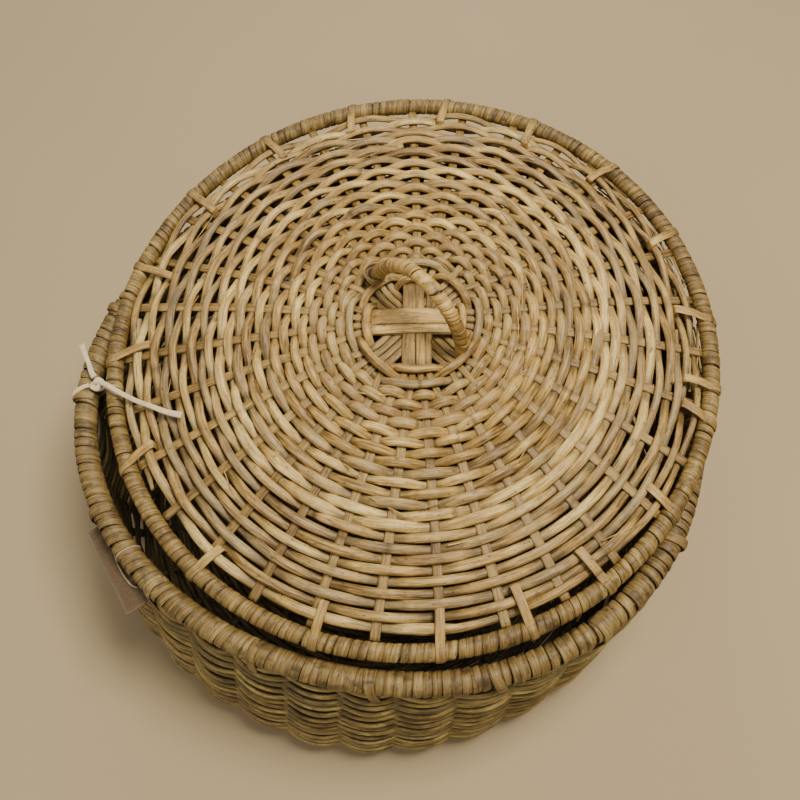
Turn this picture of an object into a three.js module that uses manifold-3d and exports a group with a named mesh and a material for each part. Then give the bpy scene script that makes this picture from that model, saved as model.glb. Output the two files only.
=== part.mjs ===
// Round wicker storage basket with a loose woven lid, tied on at one side with a cord.
// Millimetres, +Z up. The origin is the centre of the base on the floor; the tie is at -X.
import * as THREE from 'three';
import { mergeVertices } from 'three/addons/utils/BufferGeometryUtils.js';
import Module from 'manifold-3d';

const wasm = await Module();
wasm.setup();

// ---- driving dimensions ---------------------------------------------------------------
const GAP = 0.4;                 // clearance between neighbouring pieces
const RING_SEGMENTS = 40;

// basket
const RIM_Z = 134;               // height of the rim hoop's centre
const RIM_RADIUS = 182;          // mean radius of the rim hoop's centre line
const RIM_OVAL = 14;             // how far the rim is out of round
const RIM_OVAL_TURN = -13;       // degrees, direction of the rim's long axis
const RIM_SHIFT = [9, 6];        // the hand-made basket leans a little
const BULGE = 52;                // how much further the rim reaches at the back
const BULGE_TURN = 70;           // degrees, the bulge's middle
const BULGE_REACH = 85;          // degrees, from its middle to each end
const BULGE_BASE = 0.35;         // its share at the floor
const RIM_HOOP = 5.6;            // radius of the bare hoop
const RIM_BOUND = 7.5;           // radius over the cane binding
const BELLY_RADIUS = 191;        // widest place of the wall
const FLOOR_RADIUS = 168;        // where the floor turns up into the wall
const CORNER_HEIGHT = 22;
const BASE_THICK = 3.2;
const STAKE_COUNT = 33;
const STAKE_WIDTH = 6;
const STAKE_THICK = 2;
const STAKE_LAYER = 2.3;         // height of one layer where the bundles cross
const WALL_THICK = 2.6;
const WALL_TOP = 122.6;
const RIM_STITCHES = 16;
const RIM_STITCH_START = 2;      // degrees, the first stitch's place round the rim

// lid
const LID_Z = RIM_Z + 15;        // height of the lid hoop's centre
const LID_CENTRE = [24, 48];     // the lid lies pushed back on the rim
const LID_RADIUS = 194.5;        // centre line of the lid hoop
const LID_OVAL = 3;              // longer along Y by this much each way
const LID_CROSS = [5, 4];        // the spokes cross a little off the lid's centre
const LID_HOOP = 4;
const LID_BOUND = 5.5;
const LID_RISE = 22;             // dome height of the lid panel
const PANEL_RADIUS = 184.5;
const PANEL_THICK = 4.2;
const PANEL_HOLE = 27;
const SPOKE_COUNT = 31;
const SPOKE_THICK = 1.5;
const SPOKE_LAYER = 1.9;
const SPOKE_END = 188.4;
const LID_LASHINGS = 18;
const LASHING_START = 7;         // degrees, the first lashing's place round the lid
const LASHING_DRIFT = 12.5;      // degrees, how far the hand spacing drifts at the front

// handle, a wrapped arch across the middle of the lid
const HANDLE_SPAN = 74;
const HANDLE_HEIGHT = 46;
const HANDLE_SAG = 0.4;          // how much lower the arch is near its first foot
const HANDLE_CORE = 3;
const HANDLE_BOUND = 4.3;
const HANDLE_TURN = -40;         // degrees, direction of the arch
const HANDLE_SHIFT = [5.5, 8.7]; // from the lid's centre

// cord tie and paper tag
const CORD_RADIUS = 1.5;
const KNOT = [-177, 8, 143];
const TAG_ANGLE = -144.2;        // degrees round the rim
const TAG_SIZE = [61, 12.3, 0.8];
const TAG_TAPER = 5;             // how much deeper the card is at its front end
const TAG_TOP = [6, 125];        // outward from the rim's centre line, and height
const TAG_LEAN = 75;             // degrees out from hanging straight down

// ---- materials ------------------------------------------------------------------------
function matt(color, roughness) {
  return new THREE.MeshStandardMaterial({ color, roughness, metalness: 0 });
}
const caneColor = 0xb08d57;
const bindingColor = 0xa07c49;
const wallColor = 0x97814f;
const cordColor = 0xe2d6bd;
const tagColor = 0x8a6a48;

const basket = new THREE.Group();

function add(name, geometry, color, roughness = 0.55) {
  const mesh = new THREE.Mesh(geometry, matt(color, roughness));
  mesh.name = name;
  basket.add(mesh);
}

// ---- small helpers --------------------------------------------------------------------
const radians = THREE.MathUtils.degToRad;
const smooth = THREE.MathUtils.smoothstep;
const mix = THREE.MathUtils.lerp;

function moveVertices(geometry, move) {
  const positions = geometry.attributes.position;
  const point = new THREE.Vector3();
  for (let i = 0; i < positions.count; i += 1) {
    move(point.fromBufferAttribute(positions, i));
    positions.setXYZ(i, point.x, point.y, point.z);
  }
  return geometry;
}

// A closed outline of [radius, height] pairs, spun about Z.
function spin(outline) {
  const points = outline.map(([r, z]) => new THREE.Vector2(r, z));
  return new THREE.LatheGeometry(points, RING_SEGMENTS).rotateX(Math.PI / 2);
}

// How much further the basket reaches at an angle, at the back only.
function bulge(angle) {
  const off = (angle - radians(BULGE_TURN)) / radians(BULGE_REACH);
  return Math.abs(off) < 1 ? BULGE * Math.cos((off * Math.PI) / 2) ** 2 : 0;
}

// The basket is out of round and leans more and more towards its rim.
function shapeBasket(geometry) {
  return moveVertices(geometry, (p) => {
    const share = Math.min(p.z / RIM_Z, 1);
    const angle = Math.atan2(p.y, p.x);
    const oval = share * RIM_OVAL * Math.cos(2 * (angle - radians(RIM_OVAL_TURN)));
    const stretch = 1 + (oval + mix(BULGE_BASE, 1, share) * bulge(angle)) / RIM_RADIUS;
    p.x = p.x * stretch + share * RIM_SHIFT[0];
    p.y = p.y * stretch + share * RIM_SHIFT[1];
  });
}

function shapeLid(geometry) {
  return moveVertices(geometry, (p) => {
    const share = 1 - Math.min(Math.hypot(p.x, p.y) / LID_RADIUS, 1) ** 2;
    p.x = p.x * (1 - LID_OVAL / LID_RADIUS) + LID_CENTRE[0] + share * LID_CROSS[0];
    p.y = p.y * (1 + LID_OVAL / LID_RADIUS) + LID_CENTRE[1] + share * LID_CROSS[1];
  });
}

function toManifold(geometry) {
  const bare = geometry.clone();
  bare.deleteAttribute('normal');
  bare.deleteAttribute('uv');
  const merged = mergeVertices(bare, 1e-3);
  return new wasm.Manifold(new wasm.Mesh({
    numProp: 3,
    vertProperties: new Float32Array(merged.attributes.position.array),
    triVerts: new Uint32Array(merged.index.array),
  }));
}

function fromManifold(manifold) {
  const mesh = manifold.getMesh();
  const geometry = new THREE.BufferGeometry();
  geometry.setAttribute('position', new THREE.BufferAttribute(mesh.vertProperties, 3));
  geometry.setIndex(new THREE.BufferAttribute(mesh.triVerts, 1));
  return geometry;
}

function regularOutline(radius, sides) {
  const shape = new THREE.Shape();
  for (let i = 0; i < sides; i += 1) {
    const angle = (2 * Math.PI * (i + 0.5)) / sides;
    shape[i ? 'lineTo' : 'moveTo'](radius * Math.cos(angle), radius * Math.sin(angle));
  }
  shape.closePath();
  return shape;
}

function tubeAlong(curve, radius, steps, bore = 0) {
  const sides = 8;
  const shape = regularOutline(radius, sides);
  if (bore) {
    shape.holes.push(regularOutline(bore, sides));
  }
  return new THREE.ExtrudeGeometry(shape, { extrudePath: curve, steps, bevelEnabled: false });
}

// ---- hoops and their cane bindings ----------------------------------------------------
function ringOutline(radius, height, tube, sides) {
  return Array.from({ length: sides + 1 }, (_, i) => {
    const angle = (2 * Math.PI * (i % sides)) / sides;
    return [radius + tube * Math.cos(angle), height + tube * Math.sin(angle)];
  });
}

function hoop(radius, height, tube) {
  return spin(ringOutline(radius, height, tube, 8));
}

// A C-shaped sleeve round a hoop, open for 60 degrees about slotAngle.
function bindingSleeve(radius, height, inner, outer, slotAngle) {
  const steps = 6;
  const side = (tube, backwards) => Array.from({ length: steps + 1 }, (_, i) => {
    const share = (backwards ? steps - i : i) / steps;
    const angle = radians(slotAngle + 30 + 300 * share);
    return [radius + tube * Math.cos(angle), height + tube * Math.sin(angle)];
  });
  const outline = [...side(outer, false), ...side(inner, true)];
  outline.push(outline[0]);
  return spin(outline);
}

// A flat strip of binding cane laid from one [radius, height] to another.
function stitch(from, to, angle) {
  const [width, thick] = [5.5, 1.2];
  const length = Math.hypot(to[0] - from[0], to[1] - from[1]);
  const geometry = new THREE.BoxGeometry(length, width, thick);
  geometry.rotateY(-Math.atan2(to[1] - from[1], to[0] - from[0]));
  geometry.translate((from[0] + to[0]) / 2, 0, (from[1] + to[1]) / 2);
  return geometry.rotateZ(radians(angle));
}

function stitchedBinding(sleeve, angles, from, to) {
  let solid = toManifold(sleeve);
  for (const angle of angles) {
    solid = solid.add(toManifold(stitch(from, to, angle)));
  }
  return fromManifold(solid);
}

// ---- flat spokes and stakes, laid in four crossing bundles ------------------------------
// Bundle directions are 45 degrees apart; a strip runs from one end through the middle to the
// other, and its two ends fan out to even spacing round the circle.
function fan({ count, pitch, turn, start, straight, spread }) {
  const endAngle = (n) => radians(start + (n * 360) / count);
  const half = (group, member) => {
    const along = radians(turn + group * 45);
    const offset = (member - 1.5) * pitch;
    const end = endAngle(4 * group + member);
    return (r) => {
      const share = smooth(r, straight, spread);
      return new THREE.Vector2(
        mix(r * Math.cos(along) - offset * Math.sin(along), r * Math.cos(end), share),
        mix(r * Math.sin(along) + offset * Math.cos(along), r * Math.sin(end), share),
      );
    };
  };
  return { half, endAngle };
}

// One half of a strip: plan gives its place from above, profile its radius and height.
function halfRoute(plan, profile, share) {
  const step = 0.5;
  const [r, z] = profile(share);
  const place = plan(r);
  const heading = plan(r + step).sub(plan(r - step)).normalize();
  return {
    point: new THREE.Vector3(place.x, place.y, z),
    left: new THREE.Vector3(-heading.y, heading.x, 0),
  };
}

function throughRoute(planA, planB, profile, shortEnd = 1) {
  return (u) => {
    if (u < 0.5) {
      const route = halfRoute(planA, profile, (1 - 2 * u) * shortEnd);
      route.left.negate();
      return route;
    }
    return halfRoute(planB, profile, 2 * u - 1);
  };
}

function bendStrip(route, width, thick, steps) {
  const geometry = new THREE.BoxGeometry(1, 1, 1, steps, 1, 1);
  const reach = 0.004;
  return moveVertices(geometry, (p) => {
    const u = p.x + 0.5;
    const { point, left } = route(u);
    const ahead = route(Math.min(u + reach, 1)).point;
    const behind = route(Math.max(u - reach, 0)).point;
    const normal = ahead.sub(behind).normalize().cross(left).normalize();
    const sideways = p.y * width;
    const upwards = p.z * thick;
    p.copy(point).addScaledVector(left, sideways).addScaledVector(normal, upwards);
  });
}

// ---- basket ---------------------------------------------------------------------------
const FLOOR_Z = BASE_THICK + GAP + STAKE_THICK / 2;

function wallRadius(z) {
  const share = (z - FLOOR_Z - CORNER_HEIGHT) / (RIM_Z - FLOOR_Z - CORNER_HEIGHT);
  return BELLY_RADIUS - (BELLY_RADIUS - RIM_RADIUS) * Math.max(share, 0) ** 2;
}

// Centre surface of the stakes: share 0 is the middle of the floor, 1 the top of the wall.
function stakeProfile(share) {
  const [floorShare, cornerShare] = [0.5, 0.75];
  const top = RIM_Z - RIM_BOUND - GAP;
  if (share < floorShare) {
    return [FLOOR_RADIUS * (share / floorShare), FLOOR_Z];
  }
  if (share < cornerShare) {
    const angle = ((share - floorShare) / (cornerShare - floorShare)) * (Math.PI / 2);
    return [
      FLOOR_RADIUS + (BELLY_RADIUS - FLOOR_RADIUS) * Math.sin(angle),
      FLOOR_Z + CORNER_HEIGHT * (1 - Math.cos(angle)),
    ];
  }
  const z = mix(FLOOR_Z + CORNER_HEIGHT, top, (share - cornerShare) / (1 - cornerShare));
  return [wallRadius(z), z];
}

function addStakes() {
  const pitch = STAKE_WIDTH + GAP;
  const steps = 28;
  const { half, endAngle } = fan({
    count: STAKE_COUNT, pitch, turn: 0, start: -11, straight: 40, spread: 90,
  });
  for (let group = 0; group < 4; group += 1) {
    const layered = (share) => {
      const [r, z] = stakeProfile(share);
      return [r, z + group * STAKE_LAYER * (1 - smooth(r, 38, 62))];
    };
    for (let member = 0; member < 4; member += 1) {
      const route = throughRoute(half(group + 4, 3 - member), half(group, member), layered);
      const strip = bendStrip(route, STAKE_WIDTH, STAKE_THICK, steps);
      add(`stake_${group + 1}_${member + 1}`, shapeBasket(strip), wallColor);
    }
  }
  const angle = endAngle(STAKE_COUNT - 1);
  const direction = new THREE.Vector2(Math.cos(angle), Math.sin(angle));
  const firstShare = 0.2;
  const single = (u) => halfRoute(
    (r) => direction.clone().multiplyScalar(r), stakeProfile, mix(firstShare, 1, u),
  );
  const strip = bendStrip(single, STAKE_WIDTH, STAKE_THICK, steps / 2);
  add('stake_extra', shapeBasket(strip), wallColor);
}

// A woven shell just outside the stakes, from one share of their length to another.
function wovenShell(from, to, stations) {
  const inside = STAKE_THICK / 2 + 1.4;
  const outside = inside + WALL_THICK;
  const face = (depth, backwards) => Array.from({ length: stations + 1 }, (_, i) => {
    const share = mix(from, to, (backwards ? stations - i : i) / stations);
    const [r, z] = stakeProfile(share);
    const [r2, z2] = stakeProfile(share + 1e-4);
    const length = Math.hypot(r2 - r, z2 - z);
    const along = [(r2 - r) / length, (z2 - z) / length];
    return [r + depth * along[1], Math.min(Math.max(z - depth * along[0], 0), WALL_TOP)];
  });
  const outline = [...face(outside, false), ...face(inside, true)];
  outline.push(outline[0]);
  return shapeBasket(spin(outline));
}

function addWall() {
  const [floorEdge, cornerTop, seam] = [0.52, 0.75, 0.0015];
  add('corner_weave', wovenShell(floorEdge, cornerTop, 5), wallColor, 0.6);
  add('side_weave', wovenShell(cornerTop + seam, 1, 6), wallColor, 0.6);

  const edge = FLOOR_RADIUS - 2;
  const base = spin([[0, 0], [edge, 0], [edge, BASE_THICK], [0, BASE_THICK]]);
  add('base_weave', base, wallColor, 0.6);
}

function addRim() {
  add('rim_hoop', shapeBasket(hoop(RIM_RADIUS, RIM_Z, RIM_HOOP)), bindingColor);
  const sleeve = bindingSleeve(RIM_RADIUS, RIM_Z, RIM_HOOP + 1, RIM_BOUND, -110);
  const outward = RIM_RADIUS + RIM_BOUND;
  const pitch = 360 / RIM_STITCHES;
  const angles = Array.from({ length: RIM_STITCHES }, (_, i) => RIM_STITCH_START + i * pitch);
  const binding = stitchedBinding(sleeve, angles, [outward + 2.4, 110], [outward - 1.3, RIM_Z]);
  add('rim_binding', shapeBasket(binding), bindingColor, 0.5);
}

// ---- lid ------------------------------------------------------------------------------
function domeHeight(r) {
  return LID_Z + LID_RISE * (1 - (r / (LID_RADIUS - LID_BOUND)) ** 2);
}

function addSpokes() {
  const { half } = fan({
    count: SPOKE_COUNT, pitch: 4.7, turn: 4, start: -22, straight: 24, spread: 60,
  });
  const spokeWidth = 4.3;
  for (let group = 0; group < 4; group += 1) {
    const layered = (share) => {
      const r = share * SPOKE_END;
      return [r, domeHeight(r) - group * SPOKE_LAYER * (1 - smooth(r, 26, 46))];
    };
    for (let member = 0; member < 4; member += 1) {
      const lastOne = group === 3 && member === 0;
      const route = throughRoute(
        half(group + 4, 3 - member), half(group, member), layered, lastOne ? 0.22 : 1,
      );
      add(`lid_spoke_${group + 1}_${member + 1}`,
        shapeLid(bendStrip(route, spokeWidth, SPOKE_THICK, 12)), caneColor);
    }
  }
}

function handlePath(lift) {
  const arch = [];
  const points = 12;
  for (let i = 0; i <= points; i += 1) {
    const angle = Math.PI * (i / points);
    const along = (-HANDLE_SPAN / 2) * Math.cos(angle);
    const sag = 1 - HANDLE_SAG * Math.max(Math.cos(angle), 0) ** 2;
    arch.push(new THREE.Vector3(along, 0, HANDLE_HEIGHT * Math.sin(angle) * sag + lift));
  }
  return new THREE.CatmullRomCurve3(arch);
}

function placeHandle(geometry) {
  const foot = domeHeight(HANDLE_SPAN / 2);
  geometry.rotateZ(radians(HANDLE_TURN));
  geometry.translate(LID_CENTRE[0] + HANDLE_SHIFT[0], LID_CENTRE[1] + HANDLE_SHIFT[1], foot);
  return geometry;
}

function addPanel() {
  const bottom = SPOKE_THICK / 2 + 0.5;
  const stations = 7;
  const face = (lift, backwards) => Array.from({ length: stations + 1 }, (_, i) => {
    const share = (backwards ? stations - i : i) / stations;
    const r = mix(PANEL_HOLE, PANEL_RADIUS, share);
    return [r, domeHeight(r) + lift];
  });
  const outline = [...face(bottom, false), ...face(bottom + PANEL_THICK, true)];
  outline.push(outline[0]);
  const socketRadius = HANDLE_BOUND + 3 * GAP;
  let panel = toManifold(shapeLid(spin(outline)));
  for (const side of [-1, 1]) {
    const socket = new THREE.CylinderGeometry(socketRadius, socketRadius, 40, 12);
    socket.rotateX(Math.PI / 2).translate((side * HANDLE_SPAN) / 2, 0, 0);
    panel = panel.subtract(toManifold(placeHandle(socket)));
  }
  add('lid_weave', fromManifold(panel), caneColor, 0.45);
}

function addHandle() {
  const footLift = SPOKE_THICK / 2 + 1.6;
  add('handle_core', placeHandle(tubeAlong(handlePath(footLift), HANDLE_CORE, 16)), caneColor);
  const wrap = tubeAlong(handlePath(footLift), HANDLE_BOUND, 16, HANDLE_CORE + GAP);
  add('handle_wrap', placeHandle(wrap), bindingColor, 0.5);
}

// The lashings are spaced by hand, and drift apart towards the front.
function lashingAngle(i) {
  const [middle, reach] = [12.6, 2];
  const drift = LASHING_DRIFT * Math.exp(-(((i - middle) / reach) ** 2));
  return LASHING_START + (i * 360) / LID_LASHINGS + drift;
}

function addLidRim() {
  add('lid_hoop', shapeLid(hoop(LID_RADIUS, LID_Z, LID_HOOP)), bindingColor);
  const sleeve = bindingSleeve(LID_RADIUS, LID_Z, LID_HOOP + 0.9, LID_BOUND, -150);
  const innerEnd = LID_RADIUS - 23;
  const overPanel = domeHeight(innerEnd) + SPOKE_THICK / 2 + 0.5 + PANEL_THICK + 1;
  const angles = Array.from({ length: LID_LASHINGS }, (_, i) => lashingAngle(i));
  const binding = stitchedBinding(
    sleeve, angles, [innerEnd, overPanel], [LID_RADIUS, LID_Z + LID_BOUND - 0.5],
  );
  add('lid_binding', shapeLid(binding), bindingColor, 0.5);
}

// ---- cord tie: the lid's hinge ----------------------------------------------------------
function loopCurve(centre, radius, fromAngle, toAngle) {
  const points = 14;
  return new THREE.CatmullRomCurve3(Array.from({ length: points + 1 }, (_, i) => {
    const angle = radians(mix(fromAngle, toAngle, i / points));
    return new THREE.Vector3(
      centre[0] + radius * Math.cos(angle), centre[1], centre[2] + radius * Math.sin(angle),
    );
  }));
}

const LONG_TAIL = [
  [-172.2, 6, 146.5], [-169.6, 4.6, 153], [-163.2, 0.6, 158.8], [-155.8, -3.6, 160.2],
  [-149.2, -6.7, 160.6], [-141.9, -9.8, 161], [-130.9, -13.5, 162], [-120.8, -17, 163.2],
  [-110.8, -19.1, 164.6],
];
const SHORT_TAIL = [
  [-179.5, 12.3, 145.4], [-182.4, 16.4, 145.2], [-185.9, 22.7, 144.6], [-190.6, 30.1, 142.8],
  [-195.6, 38, 139.6],
];

function cordAlong(points, steps) {
  const curve = new THREE.CatmullRomCurve3(points.map((p) => new THREE.Vector3(...p)));
  return tubeAlong(curve, CORD_RADIUS, steps);
}

function addTie() {
  const rimAtTie = [-185.6, 6, RIM_Z];
  const lidAtTie = [-163.6, 9.6, LID_Z];
  const rimLoop = loopCurve(rimAtTie, RIM_BOUND + CORD_RADIUS + 0.9, 75, 375);
  add('tie_loop_rim', tubeAlong(rimLoop, CORD_RADIUS, 14), cordColor, 0.8);
  const lidLoop = loopCurve(lidAtTie, LID_BOUND + CORD_RADIUS + 0.6, -125, 150);
  add('tie_loop_lid', tubeAlong(lidLoop, CORD_RADIUS, 14), cordColor, 0.8);
  const knot = new THREE.IcosahedronGeometry(4, 1);
  knot.scale(0.85, 1.1, 0.7).translate(...KNOT);
  add('tie_knot', knot, cordColor, 0.8);
  add('tie_tail_long', cordAlong(LONG_TAIL, 24), cordColor, 0.8);
  add('tie_tail_short', cordAlong(SHORT_TAIL, 12), cordColor, 0.8);
}

// ---- paper tag on a string --------------------------------------------------------------
function addTag() {
  const angle = radians(TAG_ANGLE - RIM_OVAL_TURN);
  const reach = RIM_RADIUS + RIM_OVAL * Math.cos(2 * angle);
  const place = (geometry) => geometry.rotateZ(radians(TAG_ANGLE)).translate(...RIM_SHIFT, 0);

  const loop = new THREE.TorusGeometry(RIM_BOUND + 1.4, 0.6, 6, 16).rotateX(Math.PI / 2);
  add('tag_string', place(loop.translate(reach, 0, RIM_Z)), cordColor, 0.8);

  const [length, height, thick] = TAG_SIZE;
  const card = new THREE.BoxGeometry(thick, length, height, 1, 2, 1);
  card.translate(0, 0, -height / 2);
  moveVertices(card, (p) => {
    const inner = 1 + p.z / height;
    p.z += TAG_TAPER * inner * Math.max((2 * p.y) / length, 0);
  });
  card.rotateY(-radians(TAG_LEAN));
  card.translate(reach + TAG_TOP[0], 0, TAG_TOP[1]);
  add('tag', place(card), tagColor, 0.85);
}

addStakes();
addWall();
addRim();
addSpokes();
addPanel();
addLidRim();
addHandle();
addTie();
addTag();

export default basket;
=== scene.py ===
"""Looks of the round wicker basket: every cane, wrap, tape and card is built here by mesh code.

Lengths are in millimetres until a mesh is made, in the same frame as the CAD model:
+Z up, the origin at the middle of the base on the floor, the lid's tie at -X.
"""
import math

import bpy
import numpy as np
from mathutils import Matrix, Vector


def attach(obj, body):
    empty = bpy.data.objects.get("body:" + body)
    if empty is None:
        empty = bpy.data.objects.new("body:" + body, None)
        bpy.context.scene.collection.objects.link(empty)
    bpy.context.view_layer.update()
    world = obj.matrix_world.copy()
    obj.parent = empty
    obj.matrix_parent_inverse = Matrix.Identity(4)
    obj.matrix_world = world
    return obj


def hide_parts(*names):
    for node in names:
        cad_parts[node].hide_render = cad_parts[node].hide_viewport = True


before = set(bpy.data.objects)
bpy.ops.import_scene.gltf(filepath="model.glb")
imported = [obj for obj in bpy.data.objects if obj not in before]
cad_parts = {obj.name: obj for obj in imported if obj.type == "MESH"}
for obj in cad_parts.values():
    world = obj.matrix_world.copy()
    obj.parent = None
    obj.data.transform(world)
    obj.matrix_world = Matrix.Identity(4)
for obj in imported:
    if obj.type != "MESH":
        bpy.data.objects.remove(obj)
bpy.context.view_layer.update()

MM = 0.001
TAU = 2 * math.pi

# ---- dimensions shared with the CAD model
RIM_Z, RIM_RADIUS, RIM_OVAL, RIM_OVAL_TURN, RIM_SHIFT = 134, 182, 14, -13, (9, 6)
RIM_BOUND = 7.5
BULGE, BULGE_TURN, BULGE_REACH, BULGE_BASE = 52, 70, 85, 0.35
BELLY_RADIUS, FLOOR_RADIUS, CORNER_HEIGHT, FLOOR_Z = 191, 168, 22, 4.6
STAKE_TOP = RIM_Z - RIM_BOUND - 0.4
STAKE_COUNT = 33
LID_Z, LID_CENTRE, LID_RADIUS, LID_OVAL, LID_CROSS = 149, (24, 48), 194.5, 3, (5, 4)
LID_BOUND, LID_RISE, LID_EDGE = 5.5, 22, 189
SPOKE_COUNT, SPOKE_REACH, SHORT_REACH = 31, 188.8, 42
LASHINGS, STITCHES = 18, 16
HANDLE_SPAN, HANDLE_HEIGHT, HANDLE_SAG, HANDLE_BOUND = 74, 46, 0.4, 4.5
HANDLE_TURN, HANDLE_SHIFT = -40, (5.5, 8.7)
TAG_ANGLE, TAG_SIZE, TAG_TAPER, TAG_TOP, TAG_LEAN = -144.2, (61, 12.3, 0.8), 5, (6, 125), 75
KNOT = (-177, 8, 143)

# ---- dimensions of the canes
LID_CANE = 2.95  # half the width of the lid's cane
LID_CANE_FLAT = 0.76  # its height over its width
LID_PITCH = 5.95  # from one row to the next
LID_FIRST, LID_LAST = 45.4, 186.2  # radius of the first and the last woven row
RING_PITCH, RINGS = 5.4, 3  # the rows inside the first one, over whole bundles
WALL_CANE, WALL_PITCH = 2.2, 4.3
WALL_TOP = 124.2  # height of the wall's last row
BASE_CANE, BASE_PITCH = 1.8, 4.2
BASE_RINGS, BASE_FIRST = (46, 50.4, 54.8, 59.2, 63.6), 68.0
SPOKE_WIDE, SPOKE_THICK = 5.8, 1.5
CROSS_REACH = 29.5  # half the length of the wide strips in the lid's middle
STAKE_WIDE, STAKE_THICK = 6.0, 2.0
TAPE_WIDTH, TAPE_THICK = 3.9, 1.9
LID_WRAPS, RIM_WRAPS, HANDLE_WRAPS = 262, 202, 25
SPLINTERS, BROKEN_FIBRES = 34, 70
WHOLE_ENDS = 32  # ends of the 16 strips that run from side to side
LAP = 0.42  # how far a lid cane runs on beside the next one, in spokes
MEND_ANGLE = -6.2  # the lashing that was put in later
HANDLE_LIFT, HANDLE_STEPS = 2.35, 420
CARD_COLUMNS, CARD_ROWS, CARD_WORN = 34, 18, 1.4
RIM_LOOP, LID_LOOP = np.array([-185.6, 6, RIM_Z]), np.array([-163.4, 0.3, LID_Z])
COTTON, THREAD = (0.5, 0.2, 0.2), 0.4  # the tie's own chances, and the thread's radius
UP = np.array([0, 0, 1.0])


# ---- small helpers
def smooth(x, low, high):
    t = np.clip((np.asarray(x, float) - low) / (high - low), 0, 1)
    return t * t * (3 - 2 * t)


def mix(a, b, t):
    return a + (b - a) * t


def unit(v):
    return v / np.maximum(np.linalg.norm(v, axis=-1, keepdims=True), 1e-9)


def turned(x, y, angle):
    return x * np.cos(angle) - y * np.sin(angle), x * np.sin(angle) + y * np.cos(angle)


def waves(rng, count, lowest, highest):
    """A smooth random curve: a sum of sines, about -1 to 1."""
    rate = rng.uniform(lowest, highest, count)
    phase = rng.uniform(0, TAU, count)
    size = rng.uniform(0.5, 1, count)
    size = size / np.sqrt((size ** 2).sum())
    return lambda x: (size * np.sin(np.multiply.outer(np.asarray(x, float), rate) + phase)).sum(-1)


def hand_field(rng, count, around, rows):
    """A smooth random field round a centre: neighbouring rows drift together."""
    turns = rng.integers(1, around + 1, count)
    rate = rng.uniform(-rows, rows, count)
    phase = rng.uniform(0, TAU, count)

    def at(angle, radius):
        parts = (np.sin(t * angle + k * radius + p) for t, k, p in zip(turns, rate, phase))
        return sum(parts) / math.sqrt(count)
    return at


def catmull(points, steps):
    """A smooth curve through points, with steps samples between each two."""
    p = np.asarray(points, float)
    p = np.vstack([2 * p[0] - p[1], p, 2 * p[-1] - p[-2]])
    out = []
    for i in range(1, len(p) - 2):
        for t in np.arange(steps) / steps:
            out.append(0.5 * (2 * p[i] + (p[i + 1] - p[i - 1]) * t
                              + (2 * p[i - 1] - 5 * p[i] + 4 * p[i + 1] - p[i + 2]) * t ** 2
                              + (3 * p[i] - p[i - 1] - 3 * p[i + 1] + p[i + 2]) * t ** 3))
    out.append(p[-2])
    return np.array(out)


def running_length(points):
    """How far each point lies along the line."""
    return np.concatenate([[0], np.cumsum(np.linalg.norm(np.diff(points, axis=0), axis=1))])


def points_at(line, where, at):
    """Points of a line read at places between its own, which lie at where."""
    return np.stack([np.interp(at, where, line[:, k]) for k in range(3)], 1)


def resample(points, count):
    along = running_length(points)
    return points_at(points, along, np.linspace(0, along[-1], count))


def joined(first, second):
    """One line made of two that both start in the middle."""
    return np.concatenate([first[::-1], second[1:]])


def put_in_scene(name, data):
    item = bpy.data.objects.new(name, data)
    bpy.context.scene.collection.objects.link(item)
    return item


# ---- camera
def add_camera():
    camera = put_in_scene("camera", bpy.data.cameras.new("camera"))
    right = Vector((0.9959, 0.0819, -0.0393))
    up = Vector((-0.0576, 0.9038, 0.4240))
    back = right.cross(up).normalized()
    turn = Matrix((right, up, back)).transposed().to_4x4()
    camera.matrix_world = Matrix.Translation((0.0631, -0.2448, 0.6914)) @ turn
    camera.data.lens = 42.8
    camera.data.sensor_width = 36
    camera.data.clip_start = 0.02
    camera.data.clip_end = 20
    bpy.context.scene.camera = camera


# ---- the shapes that the canes follow
def bulge(angle):
    """How much further the basket reaches at an angle, at the back only."""
    off = np.clip((angle - math.radians(BULGE_TURN)) / math.radians(BULGE_REACH), -1, 1)
    return BULGE * np.cos(off * math.pi / 2) ** 2


def shape_basket(p):
    """The basket is out of round and leans more and more towards its rim."""
    share = np.clip(p[:, 2] / RIM_Z, 0, 1)
    angle = np.arctan2(p[:, 1], p[:, 0])
    oval = share * RIM_OVAL * np.cos(2 * (angle - math.radians(RIM_OVAL_TURN)))
    stretch = 1 + (oval + mix(BULGE_BASE, 1, share) * bulge(angle)) / RIM_RADIUS
    x = p[:, 0] * stretch + share * RIM_SHIFT[0]
    y = p[:, 1] * stretch + share * RIM_SHIFT[1]
    return np.stack([x, y, p[:, 2]], 1)


def shape_lid(p):
    share = 1 - np.clip(np.hypot(p[:, 0], p[:, 1]) / LID_RADIUS, 0, 1) ** 2
    x = p[:, 0] * (1 - LID_OVAL / LID_RADIUS) + LID_CENTRE[0] + share * LID_CROSS[0]
    y = p[:, 1] * (1 + LID_OVAL / LID_RADIUS) + LID_CENTRE[1] + share * LID_CROSS[1]
    return np.stack([x, y, p[:, 2]], 1)


def dome_height(r):
    return LID_Z + LID_RISE * (1 - (r / LID_EDGE) ** 2)


def polar(r, angle, z):
    r, angle, z = np.broadcast_arrays(r, angle, z)
    return np.stack([r * np.cos(angle), r * np.sin(angle), z], 1)


def dome_slope(r):
    return 2 * LID_RISE * r / LID_EDGE ** 2


def lid_place(r, angle, lift):
    """Points lift above the lid's spoke surface, and the way that surface faces there."""
    facing = unit(polar(dome_slope(r), angle, 1))
    base = polar(r, angle, dome_height(r))
    return shape_lid(base + facing * np.reshape(lift, (-1, 1))), facing


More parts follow.
